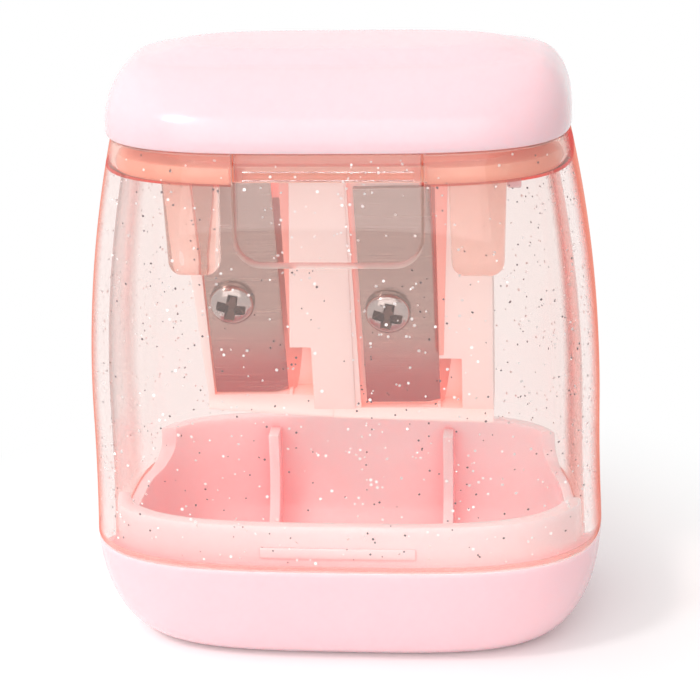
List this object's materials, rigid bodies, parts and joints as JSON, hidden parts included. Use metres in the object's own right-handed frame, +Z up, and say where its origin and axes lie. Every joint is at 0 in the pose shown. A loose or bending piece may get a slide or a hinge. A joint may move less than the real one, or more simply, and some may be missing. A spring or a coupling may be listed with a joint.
{
  "type": "pencil sharpener",
  "caption": "Double-hole pencil sharpener with a hinged domed lid, a clear shavings container and a plug-in base tray.",
  "frame": {"origin": "middle of the foot, on the surface that the sharpener stands on", "axes": "+X to the right, -Y towards the front with the blades and the tongue, +Z up"},
  "size_m": [0.053, 0.035, 0.062],
  "materials": {
    "pink_plastic": "glossy opaque light pink moulding",
    "clear_plastic": "clear polished moulding with fine glitter",
    "peach_plastic": "translucent peach moulding",
    "block_plastic": "satin opaque peach-pink moulding",
    "blade_steel": "ground steel with a fine brushed grain",
    "screw_steel": "bright plated steel"
  },
  "bodies": {
    "tray": {"base_tray": "pink_plastic"},
    "container": {"clear_body": "clear_plastic", "head_deck": "peach_plastic", "sharpener_block": "block_plastic", "blade_small": "blade_steel", "blade_large": "blade_steel", "screw_small": "screw_steel", "screw_large": "screw_steel"},
    "tongue": {"release_tongue": "clear_plastic"},
    "lid": {"lid": "pink_plastic"}
  },
  "joints": [
    {"name": "container_lift", "type": "slide", "parent": "tray", "child": "container", "axis": [0, 0, 1], "range_m": [0, 0.02]},
    {"name": "tongue_press", "type": "hinge", "parent": "container", "child": "tongue", "pos_m": [0, -0.01376, 0.0517], "axis": [1, 0, 0], "range_deg": [0, 6], "stiffness_Nm_per_rad": 0.02, "springref_deg": -5.73},
    {"name": "lid_hinge", "type": "hinge", "parent": "container", "child": "lid", "pos_m": [0, 0.016, 0.0533], "axis": [-1, 0, 0], "range_deg": [0, 110]}
  ]
}
